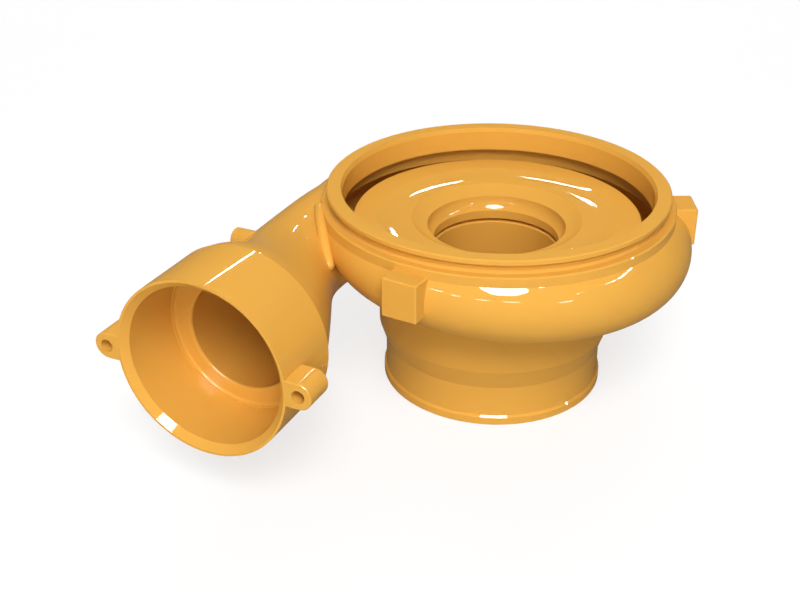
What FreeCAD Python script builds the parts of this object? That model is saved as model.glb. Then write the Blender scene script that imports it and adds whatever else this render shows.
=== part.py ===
# Turbo compressor housing, one casting: flange and seat, volute, outlet with its socket, and inlet neck.
# The frame has +Z along the wheel's axis, from the inlet to the flange face, and its origin is the
# centre of that face. Lengths are millimetres, and angles are degrees about +Z from +X.
import FreeCAD, Part
import math
import os
import Sketcher

os.makedirs("parts", exist_ok=True)
doc = FreeCAD.newDocument("compressor_housing_model")
V = FreeCAD.Vector

# Driving dimensions
sizes = {
    # clamping lip, groove below it and the ring that carries it
    "lip_r": 58.0, "lip_height": 1.6, "lip_slope": 1.3, "groove_r": 56.4,
    "shelf_z": -4.9, "ring_proud": 1.9, "ring_bottom_z": -11.6, "web_r": 50.0, "web_z": -22.0,
    # inlet neck and the bead at its end
    "neck_r": 40.4, "neck_top_z": -31.0, "neck_step_z": -50.4, "hose_r": 38.0, "hose_top_z": -57.6,
    "bead_proud": 0.8, "bead_height": 3.4, "inlet_z": -71.9,
    # seat of the bearing housing, diffuser face, throat and inlet bore
    "seat_r": 52.5, "seat_depth": 8.5, "seat_lead": 0.7, "seat_lead_depth": 1.5,
    "gap_r": 56.2, "gap_drop": 1.0, "gap_bottom_z": -15.6, "disc_r": 49.0, "disc_z": -11.2,
    "throat_r": 21.5, "throat_land": 3.0, "throat_round_share": 0.72, "contour_round_share": 1.45,
    "throat_turn_deg": 40.0, "face_turn_deg": 12.0,
    "slot_z": -22.8, "slot_width": 1.2, "slot_depth": 2.5, "bore_r": 21.4,
    "bell_top_z": -36.0, "bell_bottom_z": -58.0, "hose_wall": 3.5,
    # volute: circular sections on radial planes, from the tongue round to the outlet
    "scroll_start_deg": -195.0, "scroll_end_deg": 154.5,
    "scroll_start_radius": 46.8, "scroll_end_radius": 56.05,
    "scroll_start_section": 12.5, "scroll_end_section": 16.6,
    "scroll_start_z": -11.1, "scroll_end_z": -23.6, "scroll_drop_power": 1.9,
    "scroll_wall": 3.2, "passage_top_z": -14.2, "passage_start_deg": -168.0, "passage_lean": 0.6,
    # outlet: axis offset and height, and the outer sections of the diverging pipe
    "outlet_offset": 47.6, "outlet_z": -24.1, "outlet_length": 112.3, "pipe_wall": 3.3,
    "waist_section": 16.75, "waist_shift": 9.15, "bend_section": 17.95, "bend_shift": 7.2,
    "flare_section": 20.45, "flare_shift": 3.85, "swell_section": 24.5, "swell_shift": 1.8,
    "root_from_mouth": 25.0, "root_section": 28.1,
    # socket at the outlet's end, with its lugs
    "socket_r": 29.0, "socket_length": 25.6, "socket_lip": 0.8, "socket_lead_depth": 2.2,
    "socket_bore_r": 26.1, "socket_bore_depth": 24.7, "stop_r": 25.6, "stop_depth": 23.6, "socket_corner": 0.9,
    "opening_r": 17.85, "opening_shift": 1.4, "opening_drop": 1.9,
    "lug_pitch_r": 32.9, "lug_r": 4.3, "lug_length": 10.6, "lug_hole_r": 2.1, "lug_hole_depth": 8.0,
    # bead along the crotch between ring and pipe
    "rib_start_deg": 182.0, "rib_end_deg": 204.0, "rib_start_radius": 59.9, "rib_end_radius": 62.6,
    "rib_start_z": -7.2, "rib_end_z": -16.6, "rib_start_section": 1.4, "rib_end_section": 2.5,
    "rib_drop_power": 2.2,
    # cast blocks round the ring and the tapping boss on the pipe
    "block_proud": 7.4, "block_width": 12.2, "block_top_z": -7.0, "block_height": 13.2, "block_bite": 7.9,
    "tap_from_mouth": 59.0, "tap_rise": 12.2, "tap_reach": 23.9, "tap_r": 3.6,
    # broken edges and roundings
    "edge_break": 0.4, "fine_break": 0.25, "cast_break": 0.7, "lug_round": 0.9, "tap_round": 0.7,
    "opening_round": 0.8,
}
dims = doc.addObject("Spreadsheet::Sheet", "Dims")
for row, (name, value) in enumerate(sizes.items(), start=1):
    dims.set(f"A{row}", name)
    dims.set(f"B{row}", str(value))
    dims.setAlias(f"B{row}", name)
doc.recompute()


def worth(text):
    # present value of an expression in the sheet's sizes
    found = dims.evalExpression(text)
    return float(getattr(found, "Value", found))


body = doc.addObject("PartDesign::Body", "CompressorHousing")
body.Label = "compressor_housing"
body.Placement = FreeCAD.Placement(V(0, 0, 0), FreeCAD.Rotation())


def origin_part(role):
    return [item for item in body.Origin.OriginFeatures if item.Role == role][0]


def new_sketch(name, role="XZ_Plane", turn=None, shift=(None, None, None), spin_axis=V(0, 1, 0)):
    # sketch on one of the body's origin planes, turned and shifted by expressions in the sizes
    sketch = body.newObject("Sketcher::SketchObject", name)
    sketch.AttachmentSupport = (origin_part(role), [""])
    sketch.MapMode = "FlatFace"
    sketch.AttachmentOffset = FreeCAD.Placement(V(0, 0, 0), FreeCAD.Rotation(spin_axis, 10))
    sketch.setExpression("AttachmentOffset.Rotation.Angle", turn or "0")
    for axis, text in zip("xyz", shift):
        if text:
            sketch.setExpression(f"AttachmentOffset.Base.{axis}", text)
    return sketch


def hold(sketch, index, point, x_text, y_text):
    # fixes a point of the sketch at two expressions
    across = sketch.addConstraint(Sketcher.Constraint("DistanceX", -1, 1, index, point, worth(x_text)))
    upward = sketch.addConstraint(Sketcher.Constraint("DistanceY", -1, 1, index, point, worth(y_text)))
    sketch.setExpression(f"Constraints[{across}]", x_text)
    sketch.setExpression(f"Constraints[{upward}]", y_text)


def add_circle(sketch, x_text, y_text, r_text):
    index = sketch.addGeometry(Part.Circle(V(worth(x_text), worth(y_text), 0), V(0, 0, 1), worth(r_text)), False)
    hold(sketch, index, 3, x_text, y_text)
    size = sketch.addConstraint(Sketcher.Constraint("Radius", index, worth(r_text)))
    sketch.setExpression(f"Constraints[{size}]", r_text)
    return index


def add_outline(sketch, corners):
    # closed outline through the corners; a third entry makes the edge to the next corner an arc of that
    # radius, or a half round, and a fourth says to which side of the way along it the arc bulges
    points = [V(worth(corner[0]), worth(corner[1]), 0) for corner in corners]
    ends = []
    for number, corner in enumerate(corners):
        start, stop = points[number], points[(number + 1) % len(points)]
        if len(corner) == 2:
            index = sketch.addGeometry(Part.LineSegment(start, stop), False)
            ends.append((index, 1, 2))
            continue
        side = corner[3]
        chord = stop - start
        radius = chord.Length / 2 if corner[2] == "half round" else worth(corner[2])
        middle = (start + stop) * 0.5
        rise = math.sqrt(max(radius ** 2 - (chord.Length / 2) ** 2, 0.0))
        normal = V(-chord.y, chord.x, 0).normalize()
        centre = middle + normal * (rise if side == "right" else -rise)
        bulge = centre + (normal * -radius if side == "right" else normal * radius)
        index = sketch.addGeometry(Part.Arc(start, bulge, stop), False)
        arc_start = sketch.getPoint(index, 1)
        ends.append((index, 1, 2) if (arc_start - start).Length < (arc_start - stop).Length else (index, 2, 1))
        if corner[2] == "half round":
            size = sketch.addConstraint(Sketcher.Constraint("DistanceX", -1, 1, index, 3, centre.x))
            sketch.setExpression(f"Constraints[{size}]", corner[0])
        else:
            size = sketch.addConstraint(Sketcher.Constraint("Radius", index, radius))
            sketch.setExpression(f"Constraints[{size}]", corner[2])
    for number, corner in enumerate(corners):
        index, first, _ = ends[number]
        before, _, last = ends[number - 1]
        sketch.addConstraint(Sketcher.Constraint("Coincident", before, last, index, first))
        hold(sketch, index, first, corner[0], corner[1])


def feature(kind, name, profile, **settings):
    item = body.newObject(f"PartDesign::{kind}", name)
    item.Profile = profile
    item.Refine = False
    for key, value in settings.items():
        setattr(item, key, value)
    return item


def dress_edges(kind, name, size_text, chosen):
    # a fillet or chamfer along the chosen edges of the body as it stands
    doc.recompute()
    base = body.Tip
    names = [f"Edge{n}" for n, edge in enumerate(base.Shape.Edges, start=1) if chosen(edge)]
    dressed = body.newObject(f"PartDesign::{kind}", name)
    dressed.Base = (base, names)
    dressed.setExpression("Radius" if kind == "Fillet" else "Size", size_text)
    doc.recompute()


def circle_of(edge):
    # the circle that an edge lies on, or None for any other edge
    try:
        curve = edge.Curve
    except TypeError:
        return None
    return curve if isinstance(curve, Part.Circle) else None


def outlet_line():
    # mouth centre and inward direction of the outlet's axis
    turn = math.radians(worth(turn_text))
    mouth = V(worth(mouth_x), worth(mouth_y), worth("Dims.outlet_z"))
    return mouth, V(-math.sin(turn), math.cos(turn), 0)


def opening_edge(edge):
    # true for the edge round the opening in the socket's floor
    mouth, inward = outlet_line()
    ends = edge.FirstParameter, edge.LastParameter
    points = [edge.valueAt(ends[0] + share * (ends[1] - ends[0])) for share in (0.1, 0.4, 0.7)]
    near = all(abs((point - mouth) * inward - worth("Dims.socket_bore_depth")) < 0.01 for point in points)
    return near and all(point.distanceToLine(mouth, inward) < worth("Dims.opening_r") + 4 for point in points)


def circle_along_outlet(*places):
    # picks circles square to the outlet's axis by radius and depth from the mouth
    spots = [(worth(r_text), worth(depth_text)) for r_text, depth_text in places]
    mouth, inward = outlet_line()

    def chosen(edge):
        curve = circle_of(edge)
        if curve is None or abs(abs(curve.Axis * inward) - 1) > 1e-6:
            return False
        depth = (curve.Center - mouth) * inward
        return any(abs(curve.Radius - r) < 0.01 and abs(depth - d) < 0.01 for r, d in spots)
    return chosen


# Flange, ring and neck: one turned outline, with its edges broken
ring_r = "(Dims.lip_r + Dims.ring_proud)"
bead_r = "(Dims.hose_r + Dims.bead_proud)"
bead_z = "(Dims.inlet_z + Dims.bead_height)"
hub = new_sketch("HubOutline")
add_outline(hub, [
    ("0", "0"),
    ("Dims.lip_r - Dims.edge_break", "0"),
    ("Dims.lip_r", "-Dims.edge_break"),
    ("Dims.lip_r", "-Dims.lip_height"),
    ("Dims.groove_r", "-Dims.lip_height - Dims.lip_slope"),
    ("Dims.groove_r", "Dims.shelf_z + Dims.cast_break"),
    ("Dims.groove_r + Dims.cast_break", "Dims.shelf_z"),
    (f"{ring_r} - Dims.edge_break", "Dims.shelf_z"),
    (ring_r, "Dims.shelf_z - Dims.edge_break"),
    (ring_r, "Dims.ring_bottom_z"),
    ("Dims.web_r", "Dims.web_z"),
    ("Dims.neck_r", "Dims.neck_top_z"),
    ("Dims.neck_r", "Dims.neck_step_z"),
    ("Dims.hose_r", "Dims.hose_top_z"),
    ("Dims.hose_r", bead_z),
    (f"{bead_r} - Dims.cast_break", bead_z),
    (bead_r, f"{bead_z} - Dims.cast_break"),
    (bead_r, "Dims.inlet_z + Dims.fine_break"),
    (f"{bead_r} - Dims.fine_break", "Dims.inlet_z"),
    ("0", "Dims.inlet_z"),
])
turned = feature("Revolution", "HubTurned", hub, ReferenceAxis=(hub, ["V_Axis"]), Angle=360)


# Blocks cast on the ring at thirds of a turn
block_root = f"({ring_r} - Dims.block_bite)"
block_reach = f"({ring_r} + Dims.block_proud)"
block = new_sketch("BlockOutline", role="XY_Plane", shift=(None, None, "Dims.block_top_z"))
add_outline(block, [
    (block_root, "-Dims.block_width / 2"),
    (block_reach, "-Dims.block_width / 2"),
    (block_reach, "Dims.block_width / 2"),
    (block_root, "Dims.block_width / 2"),
])
block_pad = feature("Pad", "Block", block, Reversed=True)
block_pad.setExpression("Length", "Dims.block_height")
doc.recompute()
blocks = body.newObject("PartDesign::PolarPattern", "Blocks")
blocks.Originals = [block_pad]
blocks.Axis = (origin_part("Z_Axis"), [""])
blocks.Angle = 360
blocks.Occurrences = 3
body.Tip = blocks
outer_face = worth(block_reach)
dress_edges("Chamfer", "BlockBreak", "Dims.edge_break",
            lambda edge: max(math.hypot(v.X, v.Y) for v in edge.Vertexes) > outer_face)

# Bead along the crotch: small sections on radial planes, dropping from the ring's shelf to the notch
RIB_SHARES = ("0", "0.2", "0.4", "0.6", "0.8", "1")
beads = []
for number, share in enumerate(RIB_SHARES):
    sketch = new_sketch(f"Rib{number}", turn=f"Dims.rib_start_deg + {share} * (Dims.rib_end_deg - Dims.rib_start_deg)")
    fall = f"pow({share}; Dims.rib_drop_power)"
    add_circle(sketch, f"Dims.rib_start_radius + {fall} * (Dims.rib_end_radius - Dims.rib_start_radius)",
               f"Dims.rib_start_z + {fall} * (Dims.rib_end_z - Dims.rib_start_z)",
               f"Dims.rib_start_section + {share} * (Dims.rib_end_section - Dims.rib_start_section)")
    beads.append(sketch)
rib = feature("AdditiveLoft", "Rib", beads[0], Sections=beads[1:], Ruled=False)

# Round end of the bead: a ball at its last section
ball = new_sketch("RibEndOutline", turn="Dims.rib_end_deg", shift=(
    "Dims.rib_end_radius * cos(Dims.rib_end_deg * 1 deg)", "Dims.rib_end_z",
    "-Dims.rib_end_radius * sin(Dims.rib_end_deg * 1 deg)"))
add_outline(ball, [("0", "-Dims.rib_end_section", "half round", "right"), ("0", "Dims.rib_end_section")])
feature("Revolution", "RibEnd", ball, ReferenceAxis=(ball, ["V_Axis"]), Angle=360)
doc.recompute()


def scroll_law(way):
    # centre radius, height and section radius of the volute, at a share of the way round
    radius = f"(Dims.scroll_start_radius + {way} * (Dims.scroll_end_radius - Dims.scroll_start_radius))"
    section = f"(Dims.scroll_start_section + {way} * (Dims.scroll_end_section - Dims.scroll_start_section))"
    drop = f"pow(1 - {way}; Dims.scroll_drop_power)"
    height = f"(Dims.scroll_end_z + (Dims.scroll_start_z - Dims.scroll_end_z) * {drop})"
    return radius, height, section


def passage_law(way):
    # the passage keeps the wall on the outer lower side and stays below the diffuser face
    radius, height, section = scroll_law(way)
    inner = f"({section} - Dims.scroll_wall)"
    lean = "Dims.passage_lean"
    sink = f"(max(0; {height} + {inner} - Dims.passage_top_z) / (1 + sqrt(1 + {lean} * {lean})))"
    return (f"{radius} + {lean} * {sink}", f"{height} - {sink}",
            f"{inner} - sqrt(1 + {lean} * {lean}) * {sink}")


# Volute skin: sections on radial planes, lofted round from the tongue to the outlet's tangent plane
SECTIONS = 15
sweep = "(Dims.scroll_end_deg - Dims.scroll_start_deg)"
skins = []
for number in range(SECTIONS):
    way = f"{number / (SECTIONS - 1):.6f}"
    sketch = new_sketch(f"VoluteSkin{number:02d}", turn=f"Dims.scroll_start_deg + {way} * {sweep}")
    add_circle(sketch, *scroll_law(way))
    skins.append(sketch)
volute = feature("AdditiveLoft", "VoluteSkin", skins[0], Sections=skins[1:], Ruled=False)

# Outlet: planes square to its axis, counted back from the mouth
turn_text = "(Dims.scroll_end_deg - 180)"
mouth_x = f"(-Dims.outlet_offset * cos({turn_text} * 1 deg) + Dims.outlet_length * sin({turn_text} * 1 deg))"
mouth_y = f"(-Dims.outlet_offset * sin({turn_text} * 1 deg) - Dims.outlet_length * cos({turn_text} * 1 deg))"


def outlet_sketch(name, back):
    # the sketch's own x runs towards the wheel's axis, y upwards and z out of the mouth
    x_text = f"{mouth_x} - ({back}) * sin({turn_text} * 1 deg)"
    y_text = f"{mouth_y} + ({back}) * cos({turn_text} * 1 deg)"
    return new_sketch(name, turn=turn_text, shift=(x_text, "Dims.outlet_z", f"-({y_text})"))


end_radius, end_height, end_section = scroll_law("1")
pipe_run = "(Dims.outlet_length - Dims.root_from_mouth)"
rise_left = f"({end_height} - Dims.outlet_z)"
stations = [
    ("Tangent", end_section, f"{end_radius} - Dims.outlet_offset", rise_left),
    ("Throat", f"0.5 * ({end_section} + Dims.waist_section)",
     f"0.5 * ({end_radius} - Dims.outlet_offset + Dims.waist_shift)", f"0.8 * {rise_left}"),
    ("Run", "Dims.waist_section", "Dims.waist_shift", f"0.5 * {rise_left}"),
    ("Waist", "Dims.waist_section", "Dims.waist_shift", f"0.2 * {rise_left}"),
    ("Bend", "Dims.bend_section", "Dims.bend_shift", "0"),
    ("Flare", "Dims.flare_section", "Dims.flare_shift", "0"),
    ("Swell", "Dims.swell_section", "Dims.swell_shift", "0"),
    ("Root", "Dims.root_section", "0", "0"),
]


def station_back(number):
    # the stations are evenly spaced, from the tangent plane to the root inside the socket
    return f"(Dims.outlet_length - {number} / {len(stations) - 1} * {pipe_run})"


pipe_skins = []
for number, (name, section, outward, upward) in enumerate(stations):
    sketch = outlet_sketch(f"PipeSkin{name}", station_back(number))
    add_circle(sketch, f"-({outward})", upward, section)
    pipe_skins.append(sketch)
pipe = feature("AdditiveLoft", "PipeSkin", pipe_skins[0], Sections=pipe_skins[1:], Ruled=False)



def turned_sketch(name):
    # the sketch's y runs from the mouth along the outlet's axis, and its x is the radius
    return new_sketch(name, role="XY_Plane", turn=turn_text, spin_axis=V(0, 0, 1),
                      shift=(mouth_x, mouth_y, "Dims.outlet_z"))


# Socket: a plain drum round the outlet's axis
drum = turned_sketch("DrumOutline")
add_outline(drum, [
    ("0", "0"),
    ("Dims.socket_r", "0"),
    ("Dims.socket_r", "Dims.socket_length - Dims.fine_break"),
    ("Dims.socket_r - Dims.fine_break", "Dims.socket_length"),
    ("0", "Dims.socket_length"),
])
feature("Revolution", "SocketDrum", drum, ReferenceAxis=(drum, ["V_Axis"]), Angle=360)

# Lugs: two ears level with the mouth, on the line square to the wheel's axis
for name, side in (("Inner", ""), ("Outer", "-")):
    ear = outlet_sketch(f"LugOutline{name}", "0")
    tip, root = f"{side}Dims.lug_pitch_r", f"{side}(Dims.socket_bore_r + 1)"
    half = "Dims.lug_r"
    bulge = "left" if side else "right"
    add_outline(ear, [
        (root, f"-{half}"),
        (tip, f"-{half}", "half round", bulge),
        (tip, half),
        (root, half),
    ])
    lug = feature("Pad", f"Lug{name}", ear, Reversed=True)
    lug.setExpression("Length", "Dims.lug_length")

dress_edges("Fillet", "LugRound", "Dims.lug_round", circle_along_outlet(("Dims.lug_r", "Dims.lug_length")))
dress_edges("Chamfer", "LugBreak", "Dims.fine_break", circle_along_outlet(("Dims.lug_r", "0")))

# Tapping boss on the far side of the pipe
tap = new_sketch("TapOutline", turn=f"{turn_text} - 90", shift=(
    f"{mouth_x} - Dims.tap_from_mouth * sin({turn_text} * 1 deg)", "Dims.outlet_z + Dims.tap_rise",
    f"-({mouth_y} + Dims.tap_from_mouth * cos({turn_text} * 1 deg))"))
add_circle(tap, "0", "0", "Dims.tap_r")
tap_pad = feature("Pad", "Tap", tap)
tap_pad.setExpression("Length", "Dims.tap_reach")
tap_edge = worth("Dims.tap_r")
dress_edges("Fillet", "TapRound", "Dims.tap_round", lambda edge: edge.Closed and circle_of(edge) is not None
            and abs(circle_of(edge).Radius - tap_edge) < 0.01)

# Volute passage: tangent inside the skin, growing from the tongue to the outlet
passages = []
PASSAGE_SECTIONS = 13
passage_share = "((Dims.passage_start_deg - Dims.scroll_start_deg) / " + sweep + ")"
for number in range(PASSAGE_SECTIONS):
    share = f"{number / (PASSAGE_SECTIONS - 1):.6f}"
    way = f"({passage_share} + {share} * (1 - {passage_share}))"
    sketch = new_sketch(f"VolutePassage{number:02d}", turn=f"Dims.scroll_start_deg + {way} * {sweep}")
    add_circle(sketch, *passage_law(way))
    passages.append(sketch)
hollow = feature("SubtractiveLoft", "VolutePassage", passages[0], Sections=passages[1:], Ruled=False)
doc.recompute()

# Outlet passage: from the volute's last section to the opening in the socket's floor
last_radius, last_height, last_section = passage_law("1")
bores = []
for number, (name, section, outward, upward) in enumerate(stations[:-2]):
    sketch = outlet_sketch(f"PipePassage{name}", station_back(number))
    if name == "Tangent":
        add_circle(sketch, f"-({last_radius} - Dims.outlet_offset)", f"{last_height} - Dims.outlet_z", last_section)
    else:
        add_circle(sketch, f"-({outward})", f"{upward} - 0.5 * Dims.opening_drop", f"{section} - Dims.pipe_wall")
    bores.append(sketch)
sketch = outlet_sketch("PipePassageOpening", "Dims.socket_bore_depth - 1")
add_circle(sketch, "-Dims.opening_shift", "-Dims.opening_drop", "Dims.opening_r")
bores.append(sketch)
outlet = feature("SubtractiveLoft", "PipePassage", bores[0], Sections=bores[1:], Ruled=False)
doc.recompute()

# Socket bore, with the lead-in at its mouth and the round corner at its floor
cup = turned_sketch("SocketBoreOutline")
add_outline(cup, [
    ("0", "-1"),
    ("Dims.socket_r - Dims.socket_lip + 1", "-1"),
    ("Dims.socket_r - Dims.socket_lip", "0"),
    ("Dims.socket_bore_r", "Dims.socket_lead_depth"),
    ("Dims.socket_bore_r", "Dims.stop_depth"),
    ("Dims.stop_r", "Dims.stop_depth"),
    ("Dims.stop_r", "Dims.socket_bore_depth - Dims.socket_corner", "Dims.socket_corner", "right"),
    ("Dims.stop_r - Dims.socket_corner", "Dims.socket_bore_depth"),
    ("0", "Dims.socket_bore_depth"),
])
feature("Groove", "SocketBore", cup, ReferenceAxis=(cup, ["V_Axis"]), Angle=360)
dress_edges("Fillet", "OpeningRound", "Dims.opening_round", opening_edge)

# Seat, diffuser face, throat and inlet: one turned hollow
core = new_sketch("CoreOutline")
inlet_r = "(Dims.hose_r - Dims.hose_wall)"
flare = f"({inlet_r} - Dims.bore_r)"
bell_height = "(Dims.bell_top_z - Dims.bell_bottom_z)"
bell = f"({flare} * {flare} + {bell_height} * {bell_height}) / (4 * {flare})"

# Wheel contour: a wide arc off the disc, a closer one and a tight one, then the throat's straight land
face_turn = "(Dims.face_turn_deg * 1 deg)"
throat_turn = "(Dims.throat_turn_deg * 1 deg)"
land_z = "(Dims.slot_z + Dims.throat_land)"
drop = f"(Dims.disc_z - {land_z})"
tight = f"(Dims.throat_round_share * {drop})"
close = f"(Dims.contour_round_share * {drop})"
tight_r = f"(Dims.throat_r + {tight} * (1 - sin{throat_turn}))"
tight_z = f"({land_z} + {tight} * cos{throat_turn})"
close_r = f"({tight_r} + {close} * (sin{throat_turn} - sin{face_turn}))"
close_z = f"({tight_z} + {close} * (cos{face_turn} - cos{throat_turn}))"
wide = f"((Dims.disc_z - {close_z}) / (1 - cos{face_turn}))"
contour_r = f"({close_r} + {wide} * sin{face_turn})"
add_outline(core, [
    ("0", "3"),
    ("Dims.seat_r + Dims.seat_lead", "3"),
    ("Dims.seat_r + Dims.seat_lead", "0"),
    ("Dims.seat_r", "-Dims.seat_lead_depth"),
    ("Dims.seat_r", "-Dims.seat_depth"),
    ("Dims.gap_r", "-Dims.seat_depth - Dims.gap_drop"),
    ("Dims.gap_r", "Dims.gap_bottom_z"),
    ("Dims.disc_r", "Dims.gap_bottom_z"),
    ("Dims.disc_r", "Dims.disc_z - Dims.fine_break"),
    ("Dims.disc_r - Dims.fine_break", "Dims.disc_z"),
    (contour_r, "Dims.disc_z", wide, "left"),
    (close_r, close_z, close, "left"),
    (tight_r, tight_z, tight, "left"),
    ("Dims.throat_r", land_z),
    ("Dims.throat_r", "Dims.slot_z"),
    ("Dims.throat_r + Dims.slot_depth", "Dims.slot_z"),
    ("Dims.throat_r + Dims.slot_depth", "Dims.slot_z - Dims.slot_width"),
    ("Dims.bore_r + Dims.edge_break", "Dims.slot_z - Dims.slot_width"),
    ("Dims.bore_r", "Dims.slot_z - Dims.slot_width - Dims.edge_break"),
    ("Dims.bore_r", "Dims.bell_top_z", bell, "right"),
    (f"(Dims.bore_r + {inlet_r}) / 2", "(Dims.bell_top_z + Dims.bell_bottom_z) / 2", bell, "left"),
    (inlet_r, "Dims.bell_bottom_z"),
    (inlet_r, "Dims.inlet_z + Dims.fine_break"),
    (f"{inlet_r} + Dims.fine_break", "Dims.inlet_z"),
    (f"{inlet_r} + Dims.fine_break", "Dims.inlet_z - 1"),
    ("0", "Dims.inlet_z - 1"),
])
feature("Groove", "Core", core, ReferenceAxis=(core, ["V_Axis"]), Angle=360)
doc.recompute()

# Blind holes in the lugs
for name, side in (("Inner", ""), ("Outer", "-")):
    spot = outlet_sketch(f"LugHoleCircle{name}", "0")
    add_circle(spot, f"{side}Dims.lug_pitch_r", "0", "Dims.lug_hole_r")
    hole = feature("Pocket", f"LugHole{name}", spot)
    hole.setExpression("Length", "Dims.lug_hole_depth")
doc.recompute()

# Checks, then the STEP file
faults = [item.Name for item in doc.Objects if {"Invalid", "Error"} & set(item.State)]
if faults:
    raise RuntimeError("failed: " + ", ".join(faults))
if body.Shape.isNull() or not body.Shape.isValid() or len(body.Shape.Solids) != 1:
    raise RuntimeError("the casting isn't one valid solid")
body.Shape.exportStep(f"parts/{body.Label}.step")
box = body.Shape.BoundBox
print(f"volume {body.Shape.Volume:.0f} mm3, box {box.XLength:.2f} x {box.YLength:.2f} x {box.ZLength:.2f} mm")
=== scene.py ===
"""A turbo compressor housing: one casting under glossy orange enamel, on a pale studio floor."""

import math

import bpy
from bpy.props import FloatProperty, FloatVectorProperty, PointerProperty
from mathutils import Matrix, Vector


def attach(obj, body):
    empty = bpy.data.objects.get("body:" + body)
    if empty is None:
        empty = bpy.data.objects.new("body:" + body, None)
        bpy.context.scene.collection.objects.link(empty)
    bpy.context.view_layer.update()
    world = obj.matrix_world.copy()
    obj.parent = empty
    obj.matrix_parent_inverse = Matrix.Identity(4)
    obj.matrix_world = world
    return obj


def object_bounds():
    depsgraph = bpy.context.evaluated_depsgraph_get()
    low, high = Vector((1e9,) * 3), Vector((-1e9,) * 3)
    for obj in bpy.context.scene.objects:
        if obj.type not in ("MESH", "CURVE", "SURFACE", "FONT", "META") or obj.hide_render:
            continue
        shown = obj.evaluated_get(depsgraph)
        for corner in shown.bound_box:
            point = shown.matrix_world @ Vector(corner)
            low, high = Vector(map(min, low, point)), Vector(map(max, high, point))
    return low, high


bl_info = {
    "name": "Compressor housing",
    "version": (1, 0, 0),
    "blender": (4, 5, 0),
    "location": "3D View > Sidebar > Housing",
    "description": "Paints the cast compressor housing and sets up its studio",
    "category": "Object",
}

HOUSING = "compressor_housing"

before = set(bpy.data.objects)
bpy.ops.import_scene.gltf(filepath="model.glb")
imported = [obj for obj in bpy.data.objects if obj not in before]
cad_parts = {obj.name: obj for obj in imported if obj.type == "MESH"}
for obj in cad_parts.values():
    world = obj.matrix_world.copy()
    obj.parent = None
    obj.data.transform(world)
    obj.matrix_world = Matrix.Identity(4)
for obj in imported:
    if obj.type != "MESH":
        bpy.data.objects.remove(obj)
CAD_BOX = [list(corner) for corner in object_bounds()]
FLOOR_Z = CAD_BOX[0][2]
WHITE = (1, 1, 1, 1)

# How much of the white background gloss mirrors, and how much of the floor is plain white near
# the casting, up to where it turns all white
MIRRORED_SHARE = 0.08
FLOOR_GLOW = 0.7
FLOOR_NEAR = 0.3
FLOOR_FAR = 1.2


# Node trees

class Wire:
    """A socket of a node tree, with the usual operators: each one adds a Math node."""

    def __init__(self, maker, socket):
        self.maker = maker
        self.socket = socket

    def math(self, operation, *others):
        return self.maker.node("ShaderNodeMath", {"operation": operation}, self, *others)

    def __add__(self, other):
        return self.math("ADD", other)

    def __sub__(self, other):
        return self.math("SUBTRACT", other)

    def __mul__(self, other):
        return self.math("MULTIPLY", other)

    def __truediv__(self, other):
        return self.math("DIVIDE", other)

    def __pow__(self, other):
        return self.math("POWER", other)

    def __rsub__(self, other):
        return self.maker.node("ShaderNodeMath", {"operation": "SUBTRACT"}, other, self)

    __radd__ = __add__
    __rmul__ = __mul__


class Maker:
    """Fills the node tree of a material, a world or a Geometry Nodes group."""

    def __init__(self, tree):
        self.tree = tree
        self.tree.nodes.clear()

    def node(self, kind, settings=None, *places, out=0, **named):
        """Adds a node: its settings first, then its sockets' values or links, by place or name."""
        made = self.tree.nodes.new(kind)
        for key, value in (settings or {}).items():
            setattr(made, key, value)
        for key, value in list(enumerate(places)) + list(named.items()):
            self.feed(made.inputs[key if isinstance(key, int) else key.replace("_", " ")], value)
        return Wire(self, made.outputs[out])

    def outputs(self, kind):
        """Adds a node and gives all its outputs by name."""
        return {socket.name: Wire(self, socket) for socket in self.tree.nodes.new(kind).outputs}

    def feed(self, socket, value):
        if isinstance(value, Wire):
            self.tree.links.new(value.socket, socket)
        else:
            socket.default_value = value

    def end(self, kind, result, socket="Surface"):
        """Adds the tree's output node and gives it the result."""
        self.feed(self.tree.nodes.new(kind).inputs[socket], result)

    def mix(self, factor, low, high):
        """A mix of two colours."""
        made = self.tree.nodes.new("ShaderNodeMix")
        made.data_type = "RGBA"
        enabled = [socket for socket in made.inputs if socket.enabled]
        for socket, value in zip(enabled, (factor, low, high)):
            self.feed(socket, value)
        return Wire(self, next(socket for socket in made.outputs if socket.enabled))

    def noise(self, place, scale, detail, roughness):
        return self.node("ShaderNodeTexNoise", Vector=place, Scale=scale, Detail=detail,
                         Roughness=roughness)


def rgba(colour, factor=1.0):
    return tuple(channel * factor for channel in colour) + (1.0,)


def placed(name, data):
    """A new object in the scene."""
    made = bpy.data.objects.new(name, data)
    bpy.context.collection.objects.link(made)
    return made


# What a user would change

class EnamelSettings(bpy.types.PropertyGroup):
    """The enamel's colour and surface"""

    colour: FloatVectorProperty(
        name="Enamel", description="Colour of the enamel", subtype="COLOR", size=3,
        min=0.0, max=1.0, default=(0.735, 0.372, 0.062))
    roughness: FloatProperty(
        name="Roughness", description="Roughness of the enamel's surface", subtype="FACTOR",
        min=0.0, max=1.0, default=0.4)
    peel_size: FloatProperty(
        name="Orange peel size", description="Distance between the waves in the enamel",
        subtype="DISTANCE", unit="LENGTH", min=0.0005, max=0.02, default=0.003)
    peel_depth: FloatProperty(
        name="Orange peel depth", description="Height of the waves in the enamel",
        subtype="DISTANCE", unit="LENGTH", min=0.0, max=0.0001, default=0.0000025, precision=7)


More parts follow.
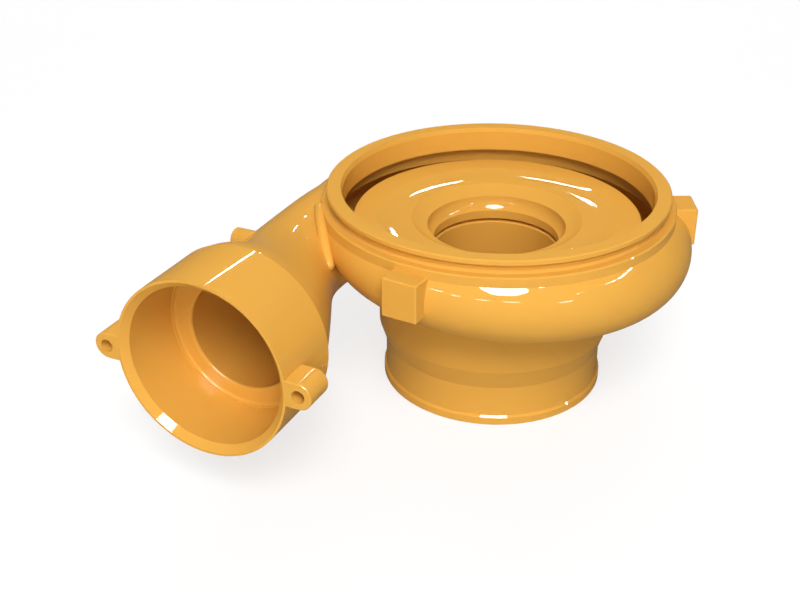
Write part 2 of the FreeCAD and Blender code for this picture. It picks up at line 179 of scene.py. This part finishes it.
class BeadSettings(bpy.types.PropertyGroup):
    """The path and thickness of the bead in the crotch"""

    start_angle: FloatProperty(
        name="Start angle", description="Direction in which the bead begins, round the axis",
        subtype="ANGLE", unit="ROTATION", default=math.radians(184.0))
    end_angle: FloatProperty(
        name="End angle", description="Direction in which the bead ends, round the axis",
        subtype="ANGLE", unit="ROTATION", default=math.radians(207.0))
    start_radius: FloatProperty(
        name="Start radius", description="Distance of the bead's start from the axis",
        subtype="DISTANCE", unit="LENGTH", default=0.0606)
    end_radius: FloatProperty(
        name="End radius", description="Distance of the bead's end from the axis",
        subtype="DISTANCE", unit="LENGTH", default=0.0629)
    start_height: FloatProperty(
        name="Start height", description="Height of the bead's start", subtype="DISTANCE",
        unit="LENGTH", default=-0.0060)
    end_height: FloatProperty(
        name="End height", description="Height of the bead's end", subtype="DISTANCE",
        unit="LENGTH", default=-0.0186)
    fall: FloatProperty(
        name="Fall", description="How late along its length the bead drops", min=1.0,
        default=2.2)
    start_thickness: FloatProperty(
        name="Start thickness", description="Thickness of the bead where it begins",
        subtype="DISTANCE", unit="LENGTH", min=0.0005, default=0.0034)
    end_thickness: FloatProperty(
        name="End thickness", description="Thickness of the bead where it ends",
        subtype="DISTANCE", unit="LENGTH", min=0.0005, default=0.0042)


class StudioSettings(bpy.types.PropertyGroup):
    """The floor, the light from all sides and the lens"""

    floor_colour: FloatVectorProperty(
        name="Floor", description="Colour of the floor", subtype="COLOR", size=3,
        min=0.0, max=1.0, default=(0.95, 0.95, 0.95))
    bounce_colour: FloatVectorProperty(
        name="Bounce", description="Colour of the floor in the light that it sends back up",
        subtype="COLOR", size=3, min=0.0, max=1.0, default=(0.5, 0.5, 0.5))
    floor_size: FloatProperty(
        name="Floor size", description="Side of the square floor", subtype="DISTANCE",
        unit="LENGTH", min=1.0, default=12.0)
    fill: FloatProperty(
        name="Fill light", description="Strength of the light from all sides", min=0.0,
        default=0.08)
    lens: FloatProperty(
        name="Lens", description="Focal length of the camera, in millimetres", min=1.0,
        default=55.55)


# The pieces

class HOUSING_OT_enamel(bpy.types.Operator):
    """Paints the casting with glossy enamel"""

    bl_idname = "housing.enamel"
    bl_label = "Enamelled casting"

    # Noises: how many waves per metre, and the detail and its roughness
    CLOUDS = (22.0, 3.0, 0.5)
    GRAIN = (210.0, 3.0, 0.6)
    PEEL_DETAIL = (1.0, 0.5)

    # How dark the clouds get, and how far the grain moves the paint's roughness
    CLOUD_SHADE = 0.96
    GRAIN_SPREAD = 0.04
    PAINT_IOR = 1.5
    COAT_WEIGHT = 0.6
    COAT_ROUGHNESS = 0.03

    def execute(self, context):
        settings = context.scene.housing_enamel
        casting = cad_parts[HOUSING]
        casting.material_slots[0].material = self.enamel(settings)
        return {"FINISHED"}

    def enamel(self, settings):
        paint = bpy.data.materials.new("orange_enamel")
        paint.use_nodes = True
        make = Maker(paint.node_tree)
        place = make.node("ShaderNodeTexCoord", out="Object")
        clouds = make.noise(place, *self.CLOUDS)
        grain = make.noise(place, *self.GRAIN)
        peel = make.noise(place, 1.0 / settings.peel_size, *self.PEEL_DETAIL)
        body = make.mix(clouds, rgba(settings.colour, self.CLOUD_SHADE), rgba(settings.colour))
        bump = make.node("ShaderNodeBump", Strength=1.0, Distance=settings.peel_depth,
                         Height=peel)
        skin = make.node(
            "ShaderNodeBsdfPrincipled", Base_Color=body,
            Roughness=settings.roughness + (grain - 0.5) * self.GRAIN_SPREAD,
            IOR=self.PAINT_IOR, Specular_IOR_Level=0.0, Normal=bump,
            Coat_Weight=self.COAT_WEIGHT, Coat_Roughness=self.COAT_ROUGHNESS,
            Coat_IOR=self.PAINT_IOR)
        make.end("ShaderNodeOutputMaterial", skin)
        return paint


class HOUSING_OT_bead(bpy.types.Operator):
    """Runs the cast bead down the crotch between the ring and the outlet pipe"""

    bl_idname = "housing.bead"
    bl_label = "Crotch bead"

    RINGS = 120
    SIDES = 32
    MERGE_DISTANCE = 0.00001

    def execute(self, context):
        settings = context.scene.housing_bead
        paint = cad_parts[HOUSING].material_slots[0].material
        carrier = placed("crotch_bead_rule", bpy.data.meshes.new("crotch_bead_rule"))
        modifier = carrier.modifiers.new("rule", "NODES")
        modifier.node_group = self.rule(paint)
        sockets = {item.name: item.identifier
                   for item in modifier.node_group.interface.items_tree if item.in_out == "INPUT"}
        for name in BeadSettings.__annotations__:
            modifier[sockets[self.label(name)]] = getattr(settings, name)
        context.view_layer.update()
        graph = context.evaluated_depsgraph_get()
        mesh = bpy.data.meshes.new_from_object(carrier.evaluated_get(graph))
        bpy.data.objects.remove(carrier)
        bead = placed("crotch_bead", mesh)
        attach(bead, "root")
        return {"FINISHED"}

    @staticmethod
    def label(name):
        return name.replace("_", " ").capitalize()

    def rule(self, paint):
        """The tree that sweeps a round section along a falling arc, with ball ends."""
        tree = bpy.data.node_groups.new("crotch_bead", "GeometryNodeTree")
        tree.interface.new_socket("Geometry", in_out="INPUT", socket_type="NodeSocketGeometry")
        for name in BeadSettings.__annotations__:
            tree.interface.new_socket(self.label(name), in_out="INPUT",
                                      socket_type="NodeSocketFloat")
        tree.interface.new_socket("Geometry", in_out="OUTPUT", socket_type="NodeSocketGeometry")
        make = Maker(tree)
        given = make.outputs("NodeGroupInput")
        value = {name: given[self.label(name)] for name in BeadSettings.__annotations__}
        line = make.node("GeometryNodeCurvePrimitiveLine", Start=(0, 0, 0), End=(0, 0, 1))
        line = make.node("GeometryNodeResampleCurve", Curve=line, Count=self.RINGS)
        share = make.node("GeometryNodeSplineParameter")
        fallen = share ** value["fall"]

        def between(start, end, part):
            return value[start] + (value[end] - value[start]) * part

        angle = between("start_angle", "end_angle", share)
        radius = between("start_radius", "end_radius", fallen)
        height = between("start_height", "end_height", fallen)
        place = make.node("ShaderNodeCombineXYZ", {}, radius * angle.math("COSINE"),
                          radius * angle.math("SINE"), height)
        path = make.node("GeometryNodeSetPosition", Geometry=line, Position=place)
        half = between("start_thickness", "end_thickness", share) * 0.5
        length = make.node("GeometryNodeCurveLength", Curve=path)
        walked = make.node("GeometryNodeSplineParameter", out="Length")
        rounded = half * self.ball(walked, half) * self.ball(length - walked, half)
        path = make.node("GeometryNodeSetCurveRadius", Curve=path, Radius=rounded)
        circle = make.node("GeometryNodeCurvePrimitiveCircle", Resolution=self.SIDES,
                           Radius=1.0)
        bead = make.node("GeometryNodeCurveToMesh", Curve=path, Profile_Curve=circle,
                         Scale=make.node("GeometryNodeInputRadius"))
        bead = make.node("GeometryNodeMergeByDistance", Geometry=bead,
                         Distance=self.MERGE_DISTANCE)
        bead = make.node("GeometryNodeSetShadeSmooth", Geometry=bead)
        bead = make.node("GeometryNodeRealizeInstances", Geometry=bead)
        bead = make.node("GeometryNodeSetMaterial", Geometry=bead, Material=paint)
        make.end("NodeGroupOutput", bead, "Geometry")
        return tree

    @staticmethod
    def ball(walked, half):
        """The share of the full radius that a ball end leaves at a distance from its tip."""
        left = (1 - walked / half).math("MAXIMUM", 0.0)
        return (1 - left * left).math("SQRT")


class HOUSING_OT_studio(bpy.types.Operator):
    """Adds the floor, the background, the lamps and the camera"""

    bl_idname = "housing.studio"
    bl_label = "Studio"

    # Name, direction (azimuth, elevation) and size (across, high) in degrees, and brightness:
    # soft lamps that light matt paint, and small bright ones that only gloss mirrors
    MATT_LAMPS = (
        ("key", -89, 47, 26, 26, 17.0),
        ("top", -90, 85, 60, 60, 0.4),
        ("back", 90, 30, 60, 50, 2.1),
        ("left", 180, 15, 60, 50, 0.3),
        ("front", -90, 7, 36, 30, 3.0),
        ("head", -92, 29, 20, 20, 1.5),
    )
    GLOSS_LAMPS = (
        ("key_gloss", -89, 48, 26, 26, 45.0),
        ("back_top", 89, 36.2, 5, 0.8, 60.0),
        ("back_middle", 86, 29.2, 1.6, 1.4, 50.0),
        ("back_low", 84, 17.2, 0.6, 5, 40.0),
        ("right_tube", -6, 34, 24, 1.0, 60.0),
        ("row_1", -130, 20, 7, 0.9, 60.0),
        ("row_2", -119, 18, 5, 0.9, 60.0),
        ("row_3", -103, 18, 8, 0.9, 60.0),
        ("row_4", -86, 19, 9, 0.9, 60.0),
        ("row_5", -54, 15, 8, 0.9, 60.0),
        ("row_6", -42, 30, 5, 0.9, 60.0),
        ("high_left", -122, 40, 4, 1.0, 20.0),
        ("high_right", -58, 51, 4, 1.0, 60.0),
    )
    ROUND_LAMPS = ("key", "key_gloss")
    MATT_DISTANCE = 1.4
    GLOSS_DISTANCE = 12.0

    # Where the photograph was taken from: place, and tilt in degrees
    CAMERA_PLACE = (-0.03217, -0.38518, 0.16551)
    CAMERA_PITCH = 28.642
    CAMERA_ROLL = -0.064
    CAMERA_YAW = 0.15
    SENSOR_WIDTH = 36.0

    def execute(self, context):
        settings = context.scene.housing_studio
        self.floor(settings)
        self.world(context.scene, settings)
        for lamp in self.MATT_LAMPS:
            self.lamp(*lamp, distance=self.MATT_DISTANCE, gloss=False)
        for lamp in self.GLOSS_LAMPS:
            self.lamp(*lamp, distance=self.GLOSS_DISTANCE, gloss=True)
        self.camera(context.scene, settings)
        context.scene.view_settings.view_transform = "Standard"
        return {"FINISHED"}

    def floor(self, settings):
        half = settings.floor_size / 2
        mesh = bpy.data.meshes.new("studio_floor")
        corners = [(x, y, FLOOR_Z) for x, y in
                   ((-half, -half), (half, -half), (half, half), (-half, half))]
        mesh.from_pydata(corners, [], [(0, 1, 2, 3)])
        floor = placed("studio_floor", mesh)
        look = bpy.data.materials.new("pale_floor")
        look.use_nodes = True
        make = Maker(look.node_tree)
        camera, _, gloss = self.rays(make)
        tone = make.mix(camera, rgba(settings.bounce_colour), rgba(settings.floor_colour))
        tone = make.mix(gloss, tone, rgba([MIRRORED_SHARE] * 3))
        paint = make.node("ShaderNodeBsdfDiffuse", Color=tone)
        white = make.node("ShaderNodeEmission", Color=WHITE, Strength=1.0)
        place = make.node("ShaderNodeTexCoord", out="Object")
        away = make.node("ShaderNodeVectorMath", {"operation": "LENGTH"}, place, out="Value")
        far = make.node("ShaderNodeMapRange", {}, away, FLOOR_NEAR, FLOOR_FAR, FLOOR_GLOW, 1.0)
        lit = camera * far + gloss * MIRRORED_SHARE
        make.end("ShaderNodeOutputMaterial",
                 make.node("ShaderNodeMixShader", {}, lit, paint, white))
        mesh.materials.append(look)

    def world(self, scene, settings):
        scene.world = bpy.data.worlds.new("studio")
        scene.world.use_nodes = True
        make = Maker(scene.world.node_tree)
        camera, matt, gloss = self.rays(make)
        glow = make.node("ShaderNodeBackground", Color=WHITE,
                         Strength=camera + gloss * MIRRORED_SHARE + matt * settings.fill)
        make.end("ShaderNodeOutputWorld", glow)

    @staticmethod
    def rays(make):
        """Tells rays apart: the camera's, those from matt paint, and those from gloss or glass."""
        path = make.outputs("ShaderNodeLightPath")
        gloss = path["Is Glossy Ray"] + path["Is Transmission Ray"]
        return path["Is Camera Ray"], path["Is Diffuse Ray"], gloss

    def lamp(self, name, azimuth, elevation, across, high, brightness, distance, gloss):
        azimuth, elevation = math.radians(azimuth), math.radians(elevation)
        direction = Vector((math.cos(elevation) * math.cos(azimuth),
                            math.cos(elevation) * math.sin(azimuth), math.sin(elevation)))
        data = bpy.data.lights.new(name, "AREA")
        data.size = 2 * distance * math.tan(math.radians(across / 2))
        data.size_y = 2 * distance * math.tan(math.radians(high / 2))
        if name in self.ROUND_LAMPS:
            data.shape = "DISK"
            area = data.size ** 2 * math.pi / 4
        else:
            data.shape = "RECTANGLE"
            area = data.size * data.size_y
        data.energy = brightness * area * math.pi
        lamp = placed(name, data)
        lamp.visible_diffuse = not gloss
        lamp.visible_glossy = gloss
        lamp.location = direction * distance
        lamp.rotation_euler = direction.to_track_quat("Z", "Y").to_euler()

    def camera(self, scene, settings):
        data = bpy.data.cameras.new("photograph")
        data.lens = settings.lens
        data.sensor_width = self.SENSOR_WIDTH
        camera = placed("photograph", data)
        pitch, roll = math.radians(self.CAMERA_PITCH), math.radians(self.CAMERA_ROLL)
        ahead = Vector((0, math.cos(pitch), -math.sin(pitch)))
        right = Vector((1, 0, 0))
        up = right.cross(ahead)
        side = math.cos(roll) * right + math.sin(roll) * up
        top = -math.sin(roll) * right + math.cos(roll) * up
        turned = Matrix((side, top, -ahead)).transposed().to_4x4()
        turned = Matrix.Rotation(math.radians(self.CAMERA_YAW), 4, "Z") @ turned
        camera.matrix_world = Matrix.Translation(self.CAMERA_PLACE) @ turned
        scene.camera = camera


class HOUSING_PT_panel(bpy.types.Panel):
    """Lists the pieces and their sizes and colours"""

    bl_idname = "HOUSING_PT_panel"
    bl_label = "Compressor housing"
    bl_space_type = "VIEW_3D"
    bl_region_type = "UI"
    bl_category = "Housing"

    def draw(self, context):
        for settings, operator in (
                (context.scene.housing_enamel, HOUSING_OT_enamel),
                (context.scene.housing_bead, HOUSING_OT_bead),
                (context.scene.housing_studio, HOUSING_OT_studio)):
            box = self.layout.box()
            for name in settings.__annotations__:
                box.prop(settings, name)
            box.operator(operator.bl_idname)


CLASSES = (EnamelSettings, BeadSettings, StudioSettings, HOUSING_OT_enamel, HOUSING_OT_bead,
           HOUSING_OT_studio, HOUSING_PT_panel)


def register():
    for cls in CLASSES:
        bpy.utils.register_class(cls)
    bpy.types.Scene.housing_enamel = PointerProperty(type=EnamelSettings)
    bpy.types.Scene.housing_bead = PointerProperty(type=BeadSettings)
    bpy.types.Scene.housing_studio = PointerProperty(type=StudioSettings)


def unregister():
    del bpy.types.Scene.housing_studio
    del bpy.types.Scene.housing_bead
    del bpy.types.Scene.housing_enamel
    for cls in reversed(CLASSES):
        bpy.utils.unregister_class(cls)


def main():
    register()
    bpy.ops.housing.enamel()
    bpy.ops.housing.bead()
    bpy.ops.housing.studio()


if __name__ == "__main__":
    main()
